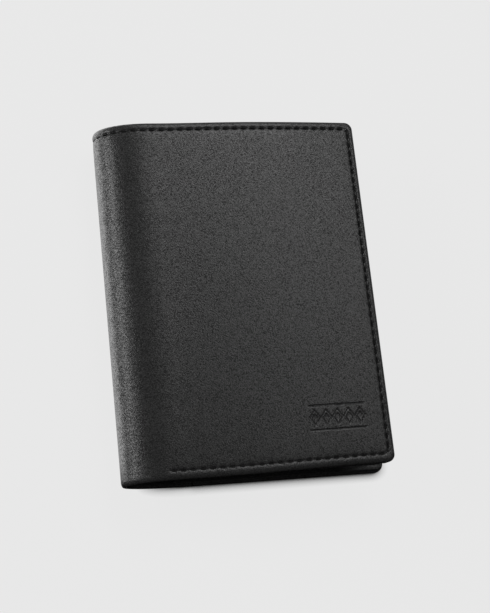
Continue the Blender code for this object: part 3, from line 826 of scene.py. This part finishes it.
def stitch(name):
    """One stitch: a short length of thread with round ends, along X."""
    clear_selection()
    bpy.ops.mesh.primitive_uv_sphere_add(segments=8, ring_count=7, radius=THREAD / 2)
    piece = bpy.context.object
    piece.name = name
    piece.rotation_euler = (0, math.radians(90), 0)
    settle(piece)
    for point in piece.data.vertices:
        point.co.x += math.copysign((STITCH_LENGTH - THREAD) / 2, point.co.x)
        point.co.z -= THREAD * (point.co.x / STITCH_LENGTH * 2) ** 4 * STITCH_DIP
    return piece


def sewing(name, half, curve, material):
    """All the stitches of a half, laid in their groove and bent round the section."""
    random.seed(name)
    pattern = stitch(name + "_pattern")
    copies = []
    for run, y, turn in stitch_places(half):
        copy = pattern.copy()
        copy.data = pattern.data.copy()
        bpy.context.scene.collection.objects.link(copy)
        copy.location = (run, y + half.lift(run, y), -half.side * PRESS_DEPTH * STITCH_SINK)
        tilt = STITCH_SLANT + random.uniform(-TILT_SPREAD, TILT_SPREAD)
        copy.rotation_euler = (0 if half.side > 0 else math.pi, 0, turn + half.side * tilt)
        copies.append(copy)
    bpy.data.objects.remove(pattern)
    piece = join(copies, name)
    settle(piece)
    wrap(piece, curve)
    smooth(piece)
    paint(piece, material)
    return piece


def lining_sheet(name, half, curve, material):
    """The note compartment's cloth, from the spine's middle to the hem."""
    end = half.run - HEM_WIDTH - HEM_STEP * 2
    inset = HEM_WIDTH + HEM_STEP * 2
    columns = ruled([0, end], LINING_STEPS[0])
    piece = sheet_of(name, columns, ruled([BOTTOM_Y + inset, TOP_Y - inset], LINING_STEPS[1]))
    for point in piece.data.vertices:
        run = point.co.x
        share = min(run / half.flat_run, 1)
        depth = SPINE_LINING_DEPTH + (COVER_LINING_DEPTH - SPINE_LINING_DEPTH) * share
        ripple = math.sin(point.co.y * RIPPLES[1]) * math.sin(run * RIPPLES[0])
        depth += LINING * RIPPLE_SHARE * (1 + ripple)
        point.co.z = -half.side * depth
    thicken(piece, half, LINING * CLOTH_SHARE)
    wrap(piece, curve)
    smooth(piece)
    paint(piece, material)
    return piece


# Inner pieces

def box_of(node):
    return [Vector(corner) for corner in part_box(node)]


def hang(piece, body, slot, *nodes):
    """Puts a finished inner piece on its body, in place of the frame's nodes."""
    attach(piece, body)
    if nodes:
        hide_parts(*nodes)


def round_corners(piece, radius):
    """Rounds the upright edges of a flat piece."""
    vertices = piece.data.vertices

    def upright(line):
        first, second = (vertices[index].co for index in line.vertices)
        return (first.xy - second.xy).length < WELD

    edit(piece)
    select(piece, "EDGE", upright)
    bpy.ops.mesh.bevel(offset=radius, segments=CORNER_STEPS, affect="EDGES")
    stop_editing()


def crease(piece, inset):
    """Presses a line into both faces of a flat piece, along its edges."""
    edit(piece)
    for up in (1, -1):
        select(piece, "FACE", lambda face: face.normal.z * up > 0.9)
        bpy.ops.mesh.inset(thickness=inset)
        for shift in (-1, 1):
            bpy.ops.mesh.inset(thickness=CREASE_WIDTH / 2)
            bpy.ops.transform.translate(value=(0, 0, CREASE_DEPTH * shift * up))
    stop_editing()


def drill(piece, place, radius):
    clear_selection()
    bpy.ops.mesh.primitive_cylinder_add(vertices=HOLE_SIDES, radius=radius, depth=BIT_LENGTH, location=place)
    drill_bit = bpy.context.object
    apply_modifier(piece, "BOOLEAN", object=drill_bit, operation="DIFFERENCE", solver="EXACT")
    bpy.data.objects.remove(drill_bit)


def cut_near_ends(piece):
    """Cuts a leaf across near its ends, so that no long thin triangle runs from corner to corner."""
    for axis, normal in ((0, (1, 0, 0)), (1, (0, 1, 0))):
        places = [point.co[axis] for point in piece.data.vertices]
        low, high = min(places), max(places)
        if high - low < 3 * CUT_INSET:
            continue
        for place in (low + CUT_INSET, high - CUT_INSET):
            edit(piece)
            bpy.ops.mesh.select_all(action="SELECT")
            bpy.ops.mesh.bisect(plane_co=Vector(normal) * place, plane_no=normal, threshold=WELD / 10)
            stop_editing()


def finish_leaf(piece, material, corner, edge, line, hole=None):
    round_corners(piece, corner)
    if line:
        crease(piece, line)
    if hole:
        drill(piece, *hole)
    apply_modifier(piece, "BEVEL", width=edge, segments=2, limit_method="ANGLE", angle_limit=EDGE_ANGLE)
    cut_near_ends(piece)
    smooth(piece)
    for face in piece.data.polygons:
        if face.area > LARGE_FACE:
            face.use_smooth = False
    paint(piece, material)


def leaf(name, node, body, material, corner=LEAF_CORNER, edge=LEAF_EDGE, line=LEAF_LINE,
         slot="inner_leather", hole=None):
    """A flat piece of the frame's size, with round corners, soft edges and a creased line."""
    piece = block(name, *box_of(node))
    finish_leaf(piece, material, corner, edge, line, hole)
    hang(piece, body, slot, node)
    return piece


def window_frame(material):
    """The wing's front leaf, cut out round the clear film."""
    low, high = box_of("wing_frame")
    film_low, film_high = box_of("wing_window")
    columns = [low.x, film_low.x + FILM_LAP, film_high.x - FILM_LAP, high.x]
    rows = [low.y, film_low.y + FILM_LAP, film_high.y - FILM_LAP, high.y]
    piece = sheet_of("window_frame_leather", columns, rows)
    edit(piece)
    middle = (film_low + film_high).xy / 2
    select(piece, "FACE", lambda face: (face.center.xy - middle).length < WELD)
    bpy.ops.mesh.delete(type="FACE")
    stop_editing()
    for point in piece.data.vertices:
        point.co.z = high.z
    apply_modifier(piece, "SOLIDIFY", thickness=high.z - low.z, offset=-1)
    finish_leaf(piece, material, LEAF_CORNER, THIN_EDGE, FRAME_LINE)
    hang(piece, "wing", "inner_leather", "wing_frame")


def seam_along(name, body, corners, level, up, material):
    """Stitches on a flat leather face along straight runs; up is 1 on an upper face."""
    random.seed(name)
    pattern = stitch(name + "_pattern")
    copies = []
    for start, end in zip(corners, corners[1:]):
        start = Vector(start)
        run = Vector(end) - start
        count = max(round(run.length / STITCH_PITCH), 1)
        for k in range(count):
            copy = pattern.copy()
            copy.data = pattern.data.copy()
            bpy.context.scene.collection.objects.link(copy)
            place = start + run * (k + 0.5) / count
            copy.location = (place.x, place.y, level - up * THREAD * INNER_SINK)
            tilt = STITCH_SLANT + random.uniform(-INNER_TILT_SPREAD, INNER_TILT_SPREAD)
            turn = math.atan2(run.y, run.x) + up * tilt
            copy.rotation_euler = (0 if up > 0 else math.pi, 0, turn)
            copies.append(copy)
    bpy.data.objects.remove(pattern)
    piece = join(copies, name)
    settle(piece)
    smooth(piece)
    paint(piece, material)
    hang(piece, body, "seam_thread")


def corners_inside(node, inset, sides):
    """Corners of a seam inside a node's outline: on all 4 sides, or on 3 with the left one open."""
    low, high = box_of(node)
    left, bottom, right, top = low.x + inset, low.y + inset, high.x - inset, high.y - inset
    around = [(left, top), (left, bottom), (right, bottom), (right, top), (left, top)]
    return around if sides == 4 else around[1:]


def pocket_path():
    """Stations round the coin pocket's three closed sides: place and direction inwards."""
    low, high = box_of("coin_pocket_gusset")
    corner = LEAF_CORNER
    stations = []
    for x in ruled([low.x, high.x - corner], POCKET_STEP):
        stations.append((Vector((x, low.y)), Vector((0, 1))))
    for quarter, middle in ((-1, Vector((high.x - corner, low.y + corner))),
                            (0, Vector((high.x - corner, high.y - corner)))):
        for k in range(1, CORNER_STEPS):
            turn = math.radians(90 * (quarter + k / CORNER_STEPS))
            outward = Vector((math.cos(turn), math.sin(turn)))
            stations.append((middle + corner * outward, -outward))
        if quarter < 0:
            for y in ruled([low.y + corner, high.y - corner], POCKET_STEP):
                stations.append((Vector((high.x, y)), Vector((-1, 0))))
    for x in reversed(ruled([low.x, high.x - corner], POCKET_STEP)):
        stations.append((Vector((x, high.y)), Vector((0, -1))))
    return stations


def bellows(material):
    """The coin pocket's gusset: a thin strip folded in twice round the three closed sides."""
    low, high = box_of("coin_pocket_gusset")
    stations = pocket_path()
    piece = sheet_of("pocket_bellows", range(len(stations)), range(len(BELLOWS_FOLDS)))
    for point in piece.data.vertices:
        station, inwards = stations[round(point.co.x)]
        step = round(point.co.y)
        place = station + inwards * (BELLOWS_REACH * BELLOWS_FOLDS[step] + BELLOWS_LEATHER / 2)
        level = low.z + (high.z - low.z) * step / (len(BELLOWS_FOLDS) - 1)
        point.co = (place.x, place.y, level)
    apply_modifier(piece, "SOLIDIFY", thickness=BELLOWS_LEATHER, offset=0)
    apply_modifier(piece, "SUBSURF", levels=1, render_levels=1)
    smooth(piece)
    paint(piece, material)
    hang(piece, "rear", "inner_leather", "coin_pocket_gusset")


def padding(material):
    """Foam under the front: flat inside, domed outside, thinned at its edges."""
    low, high = box_of("front_padding")
    columns = ruled([low.x, high.x], PADDING_STEPS[0])
    piece = sheet_of("padding_foam", columns, ruled([low.y, high.y], PADDING_STEPS[1]))
    middle = (low + high) / 2
    half_size = (high - low) / 2
    apply_modifier(piece, "SOLIDIFY", thickness=PADDING_SHELL, offset=-1)
    for point in piece.data.vertices:
        x, y, depth = point.co
        from_edge = min(x - low.x, high.x - x, y - low.y, high.y - y)
        share_x = (x - middle.x) / half_size.x
        share_y = (y - middle.y) / half_size.y
        waist = PADDING_WAIST * (1 - share_x ** 2) * share_y
        side = PADDING_WAIST * (1 - share_y ** 2) * share_x
        top = front_base(x) + crown(x) - LEATHER - PADDING_GAP
        thinned = (top - low.z) * PADDING_THINNING * max(1 - from_edge / PADDING_EDGE, 0) ** 2
        outer = depth > -PADDING_SHELL / 2
        point.co = (x - side, y - waist, top - thinned if outer else low.z)
    smooth(piece)
    paint(piece, material)
    hang(piece, "front", "foam", "front_padding")


def turned(name, body, node, profile, material):
    """A round metal piece: a closed profile of radius and level in millimetres, spun about its middle."""
    low, high = box_of(node)
    centre = (low + high) / 2
    clear_selection()
    bpy.ops.mesh.primitive_circle_add(vertices=len(profile), radius=1, fill_type="NOTHING")
    piece = bpy.context.object
    piece.name = name
    piece.data.name = name
    for point, (radius, level) in zip(piece.data.vertices, profile):
        point.co = (centre.x + radius / 1000, centre.y, level / 1000)
    vertices = piece.data.vertices

    def on_axis(line):
        return all(abs(vertices[index].co.x - centre.x) < WELD for index in line.vertices)

    edit(piece)
    select(piece, "EDGE", on_axis)
    bpy.ops.mesh.delete(type="EDGE")
    bpy.ops.mesh.select_all(action="SELECT")
    bpy.ops.mesh.spin(steps=SPIN_STEPS, angle=math.tau, center=(centre.x, centre.y, 0), axis=(0, 0, 1))
    bpy.ops.mesh.select_all(action="SELECT")
    bpy.ops.mesh.remove_doubles(threshold=WELD / 10)
    bpy.ops.mesh.normals_make_consistent(inside=False)
    stop_editing()
    smooth(piece, METAL_SMOOTH_ANGLE)
    paint(piece, material)
    hang(piece, body, "stud_metal", node)


STUD_PROFILE = [(0, 9.4), (1.1, 9.4), (1.1, 10.3), (3.7, 10.3), (3.95, 10.36), (4.0, 10.48),
                (3.9, 10.62), (3.6, 10.7), (2.6, 10.7), (2.45, 10.62), (2.2, 10.62), (2.0, 10.72),
                (1.45, 10.8), (1.2, 10.95), (1.18, 11.1), (1.38, 11.28), (1.5, 11.45), (1.46, 11.62),
                (1.25, 11.76), (0.9, 11.8), (0, 11.8)]
SOCKET_PROFILE = [(1.85, 11.06), (2.0, 11.0), (4.0, 11.0), (4.2, 11.08), (4.22, 11.2), (4.15, 11.28),
                  (3.5, 11.28), (3.5, 12.1), (1.8, 12.1), (1.8, 11.85), (1.95, 11.7), (1.95, 11.5),
                  (1.8, 11.3)]
CAP_PROFILE = [(0, 12.4), (4.3, 12.4), (4.36, 12.14), (4.6, 12.12), (4.9, 12.2), (5.0, 12.38),
               (5.0, 12.6), (4.92, 12.78), (4.7, 12.92), (4.3, 12.99), (3.75, 13.0), (3.65, 12.95),
               (3.45, 12.95), (3.35, 13.02), (2.4, 13.07), (1.2, 13.095), (0, 13.1)]


def make_floor():
    """A pale floor that shows its own even colour, and darkens close before the wallet's lower edge.

    What the leather mirrors of it is brightest on a strip beside the spine, a painted light, and dark before
    the lower edge, a painted shade.
    """
    clear_selection()
    bpy.ops.mesh.primitive_plane_add(size=6)
    floor = bpy.context.object
    floor.name = "floor"
    material, tree, shader = new_material("pale_floor", (0.80, 0.80, 0.80), 0.9, 0.2)
    place = tree.nodes.new("ShaderNodeSeparateXYZ")
    tree.links.new(mapped(tree, "Object"), place.inputs[0])
    light_path = tree.nodes.new("ShaderNodeLightPath")

    before = spread(tree, place.outputs["Y"], *SHADOW_BEFORE, 1, 0)
    beside = spread(tree, place.outputs["X"], *SHADOW_BESIDE, 0, 1)
    nearby = tree.nodes.new("ShaderNodeAmbientOcclusion")
    nearby.samples = SHADOW_SAMPLES
    nearby.inputs["Distance"].default_value = SHADOW_REACH
    covered = maths(tree, "SUBTRACT", 1, nearby.outputs["AO"])
    closed = maths(tree, "MINIMUM", maths(tree, "MULTIPLY", covered, 2), 1)
    shadow = maths(tree, "MULTIPLY", maths(tree, "MULTIPLY", before, beside),
                   maths(tree, "POWER", closed, SHADOW_FALL))
    even = tree.nodes.new("ShaderNodeEmission")
    even.inputs["Color"].default_value = (FLOOR_LEVEL, FLOOR_LEVEL, FLOOR_LEVEL, 1)
    tree.links.new(maths(tree, "SUBTRACT", 1, maths(tree, "MULTIPLY", shadow, SHADOW_DEPTH)),
                   even.inputs["Strength"])

    # painted light in the leather's reflections: the floor glows far brighter on a strip beside the spine
    rising = spread(tree, place.outputs["X"], *STRIP_RISE, 1, 0)
    fading = spread(tree, place.outputs["X"], *STRIP_FADE, 0, 1)
    painted_light_strip_share = maths(tree, "MULTIPLY", rising, fading)
    # painted shade: what the leather mirrors of the floor is black before the lower edge
    outside_painted_shade = spread(tree, place.outputs["Y"], *PAINTED_SHADE_FADE, 0, 1)
    level = spread(tree, painted_light_strip_share, 0, 1, MIRRORED_LEVEL, PAINTED_LIGHT_STRIP_LEVEL)
    mirrored = tree.nodes.new("ShaderNodeEmission")
    tree.links.new(maths(tree, "MULTIPLY", level, outside_painted_shade), mirrored.inputs["Strength"])

    for glow, rays, share in ((mirrored, "Is Glossy Ray", 1), (even, "Is Transmission Ray", 1),
                              (even, "Is Camera Ray", FLOOR_EVENNESS)):
        mix = tree.nodes.new("ShaderNodeMixShader")
        tree.links.new(maths(tree, "MULTIPLY", light_path.outputs[rays], share), mix.inputs["Fac"])
        below = tree.nodes["Material Output"].inputs["Surface"].links[0].from_socket
        tree.links.new(below, mix.inputs[1])
        tree.links.new(glow.outputs[0], mix.inputs[2])
        tree.links.new(mix.outputs[0], tree.nodes["Material Output"].inputs["Surface"])
    paint(floor, material)


def area_light(name, place, target, width, height, power):
    data = bpy.data.lights.new(name, "AREA")
    data.shape = "RECTANGLE"
    data.size = width
    data.size_y = height
    data.energy = power
    lamp = bpy.data.objects.new(name, data)
    bpy.context.scene.collection.objects.link(lamp)
    lamp.location = place
    lamp.visible_camera = False
    lamp.rotation_euler = (Vector(target) - Vector(place)).to_track_quat("-Z", "Y").to_euler()


def softbox(name, bearing, height, width, depth, power):
    """A lamp round the wallet: bearing from +X towards +Y and height over the floor, in degrees."""
    turn, tilt = math.radians(bearing), math.radians(height)
    direction = Vector((math.cos(tilt) * math.cos(turn), math.cos(tilt) * math.sin(turn), math.sin(tilt)))
    target = Vector(LAMP_TARGET)
    area_light(name, target + direction * LAMP_DISTANCE, target, width, depth, power)


def make_lights():
    softbox("key_softbox", 70, 51, 0.28, 0.36, 4.3)
    softbox("right_softbox", 28, 51, 0.26, 0.36, 1.7)
    softbox("left_softbox", 162, 22, 0.46, 0.26, 7.0)
    softbox("back_softbox", 95, 25, 0.22, 0.22, 0.6)
    make_world()


def make_world():
    """Dim grey all round, which the camera sees as the floor's own pale colour."""
    world = bpy.data.worlds.new("studio")
    world.use_nodes = True
    tree = world.node_tree
    light_path = tree.nodes.new("ShaderNodeLightPath")
    by_camera = light_path.outputs["Is Camera Ray"]
    seen = maths(tree, "MAXIMUM", by_camera, light_path.outputs["Is Transmission Ray"])
    background = tree.nodes["Background"]
    background.inputs["Color"].default_value = (1, 1, 1, 1)
    tree.links.new(spread(tree, seen, 0, 1, WORLD_LEVEL, FLOOR_LEVEL), background.inputs["Strength"])
    bpy.context.scene.world = world


bpy.context.scene.view_settings.view_transform = "Standard"
make_camera()
make_floor()
make_lights()

cover_leather = leather("black_calf", (0.011, 0.011, 0.011), (0.017, 0.017, 0.017), 0.37, "UV")
inner_leather = leather("inner_calf", (0.018, 0.018, 0.018), (0.028, 0.028, 0.028), 0.52, "Object")
thread = thread_material()
cloth = cloth_material()

front = Half(1, FRONT_RUN, FRONT_CORNER, FRONT_HEM, front_run_at(FRONT_FLAT_X),
             front_run_at(SPINE_X + BOTTOM_SEAM_START))
rear = Half(-1, REAR_RUN, REAR_CORNER, REAR_HEM, REAR_RUN - (REAR_EDGE_X - REAR_FLAT_X), front.seam_start)
front_bench = section_curve("front_section", front_section(True))
plain_bench = section_curve("plain_front_section", front_section(False))
rear_bench = section_curve("rear_section", rear_section())


def on_front(piece, slot, *nodes):
    """A piece that runs from the spine's middle over the front's fold."""
    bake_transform(piece)
    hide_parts(*nodes)


def on_rear(piece, slot, *nodes):
    """A piece that runs from the rear over its fold to the spine's middle."""
    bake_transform(piece)
    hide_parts(*nodes)


on_front(hide("front_hide", front, front_bench, cover_leather), "cover_leather", "front_cover", "spine_cover")
on_front(sewing("front_stitches", front, front_bench, thread), "seam_thread",
         "front_seam_thread", "spine_seam_thread")
on_front(lining_sheet("front_note_lining", front, plain_bench, cloth), "lining_cloth",
         "front_lining", "spine_lining")
on_rear(hide("rear_hide", rear, rear_bench, cover_leather), "cover_leather", "rear_cover")
on_rear(sewing("rear_stitches", rear, rear_bench, thread), "seam_thread", "rear_seam_thread")
on_rear(lining_sheet("rear_note_lining", rear, rear_bench, cloth), "lining_cloth", "rear_lining")

for bench in (front_bench, plain_bench, rear_bench):
    bpy.data.objects.remove(bench)

stud_low, stud_high = box_of("snap_stud")
stud_place = (stud_low + stud_high) / 2
leaf("rear_panel_leather", "rear_inner_panel", "rear", inner_leather)
leaf("front_panel_leather", "front_inner_panel", "front", inner_leather)
for number in ("1", "2", "3"):
    leaf("card_pocket_" + number, "card_leaf_" + number, "front", inner_leather,
         edge=THIN_EDGE, line=CARD_LINE)
leaf("wing_back_leather", "wing_back", "wing", inner_leather, edge=THIN_EDGE)
leaf("pocket_front_leather", "coin_pocket_front", "rear", inner_leather, edge=POCKET_EDGE,
     hole=(stud_place, SHANK_HOLE))
leaf("flap_leather", "coin_flap", "flap", inner_leather, hole=(stud_place, SOCKET_HOLE))
leaf("flap_root_leather", "coin_flap_root", "rear", inner_leather, corner=ROOT_CORNER, edge=THIN_EDGE, line=0)
leaf("stiffening_board", "rear_board", "rear", board_material(), edge=THIN_EDGE, line=0, slot="board")
leaf("window_film", "wing_window", "wing", film_material(), edge=FILM_EDGE, line=0, slot="clear_film")
leaf("wing_fold_cloth", "wing_hinge_strip", "rear", cloth,
     corner=STRIP_CORNER, edge=THIN_EDGE, line=0, slot="lining_cloth")
pocket_cloth = leaf("coin_pocket_cloth", "coin_pocket_back", "rear", cloth,
                    edge=THIN_EDGE, line=0, slot="lining_cloth")

window_frame(inner_leather)
bellows(inner_leather)
padding(foam_material())
metal = metal_material()
turned("stud_post", "rear", "snap_stud", STUD_PROFILE, metal)
turned("stud_socket", "flap", "snap_socket", SOCKET_PROFILE, metal)
turned("stud_cap", "flap", "snap_cap", CAP_PROFILE, metal)

# Seams of the inner pieces: name, body, node, inset, number of sides, and 1 on an upper face
INNER_SEAMS = (
    ("flap_stitches", "flap", "coin_flap", 0.0021, 3, 1),
    ("pocket_stitches", "rear", "coin_pocket_front", 0.0021, 3, 1),
    ("window_stitches", "wing", "wing_window", FILM_LAP - WINDOW_MARGIN, 4, 1),
    ("wing_edge_stitches", "wing", "wing_frame", 0.0024, 4, 1),
    ("wing_back_stitches", "wing", "wing_back", 0.0024, 4, -1),
    ("rear_panel_stitches", "rear", "rear_inner_panel", 0.0015, 3, 1),
    ("front_panel_stitches", "front", "front_inner_panel", 0.0011, 3, -1),
)
for name, body, node, inset, sides, up in INNER_SEAMS:
    low, high = box_of("wing_frame" if node == "wing_window" else node)
    seam_along(name, body, corners_inside(node, inset, sides), high.z if up > 0 else low.z, up, thread)
